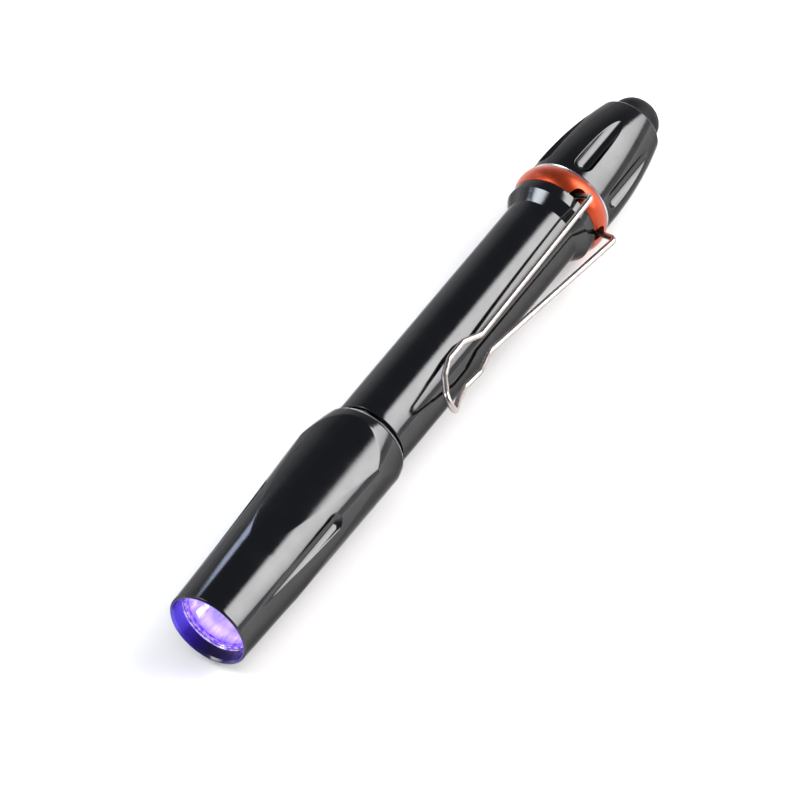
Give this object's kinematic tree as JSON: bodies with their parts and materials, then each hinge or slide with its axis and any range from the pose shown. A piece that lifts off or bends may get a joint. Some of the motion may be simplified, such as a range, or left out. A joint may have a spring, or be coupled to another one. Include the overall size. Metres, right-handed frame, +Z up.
{
  "type": "ultraviolet curing lamp",
  "caption": "Pocket ultraviolet curing lamp: flared lobed head with recessed window, slim battery tube, sprung wire clip, accent ring, fluted tail cap and rubber push button.",
  "frame": {"origin": "on the floor at the middle of the lamp's bounding box, the lamp lying on its side on one head crest", "axes": "+X from the bezel to the push button, along the lamp's axis; +Z up; the clip points towards -Y and half up"},
  "size_m": [0.1374, 0.0216, 0.0196],
  "materials": {
    "black_anodised": "gloss anodised",
    "lens_glass": "clear",
    "black_rubber": "matt",
    "bright_reflector": "mirror",
    "board_aluminium": "satin",
    "led_ceramic": "matt",
    "led_glow": "clear, lit violet",
    "plain_aluminium": "turned",
    "board_green": "solder mask",
    "spring_steel": "bright wire",
    "cell_sleeve": "printed sleeve, no marks",
    "clip_wire": "nickel plated",
    "orange_anodised": "gloss anodised",
    "brass": "turned",
    "switch_plastic": "moulded",
    "plunger_plastic": "moulded"
  },
  "bodies": {
    "barrel": {"battery_tube": "black_anodised", "head_oring": "black_rubber", "tail_oring": "black_rubber", "cell_front": "cell_sleeve", "cell_rear": "cell_sleeve", "clip_hoop": "clip_wire", "accent_ring": "orange_anodised"},
    "clip": {"clip_arm": "clip_wire"},
    "head_lead": {"front_spring": "spring_steel"},
    "head": {"head_shell": "black_anodised", "lens": "lens_glass", "lens_seal": "black_rubber", "reflector": "bright_reflector", "led_board": "board_aluminium", "led_package": "led_ceramic", "led_dome": "led_glow", "heat_sink": "plain_aluminium", "driver_board": "board_green"},
    "tail_lead": {"tail_spring": "spring_steel"},
    "tail": {"tail_cap": "black_anodised", "switch_retainer": "brass", "switch_housing": "switch_plastic", "return_spring": "spring_steel", "boot_skirt": "black_rubber"},
    "plunger": {"switch_plunger": "plunger_plastic"},
    "button": {"button_dome": "black_rubber"}
  },
  "joints": [
    {"name": "clip_flex", "type": "hinge", "parent": "barrel", "child": "clip", "pos_m": [0.0399, -0.00327, 0.0123], "axis": [0, 0.515, 0.8572], "range_deg": [0, 5], "stiffness_Nm_per_rad": 1},
    {"name": "head_travel", "type": "slide", "parent": "barrel", "child": "head_lead", "axis": [-1, 0, 0], "range_m": [0, 0.004]},
    {"name": "head_turn", "type": "hinge", "parent": "head_lead", "child": "head", "pos_m": [-0.0687, 0.002, 0.00913], "axis": [-1, 0, 0], "range_deg": [0, 1800]},
    {"name": "tail_travel", "type": "slide", "parent": "barrel", "child": "tail_lead", "axis": [1, 0, 0], "range_m": [0, 0.004]},
    {"name": "tail_turn", "type": "hinge", "parent": "tail_lead", "child": "tail", "pos_m": [-0.0687, 0.002, 0.00913], "axis": [1, 0, 0], "range_deg": [0, 1800]},
    {"name": "button_press", "type": "slide", "parent": "tail", "child": "button", "axis": [-1, 0, 0], "range_m": [0, 0.0012], "stiffness_N_per_m": 1500},
    {"name": "plunger_press", "type": "slide", "parent": "tail", "child": "plunger", "axis": [-1, 0, 0], "range_m": [0, 0.0012]}
  ],
  "couplings": [
    {"joint": "head_turn", "follows": "head_travel", "rad_per_m": 7854},
    {"joint": "tail_turn", "follows": "tail_travel", "rad_per_m": 7854},
    {"joint": "plunger_press", "follows": "button_press", "ratio": 1}
  ]
}
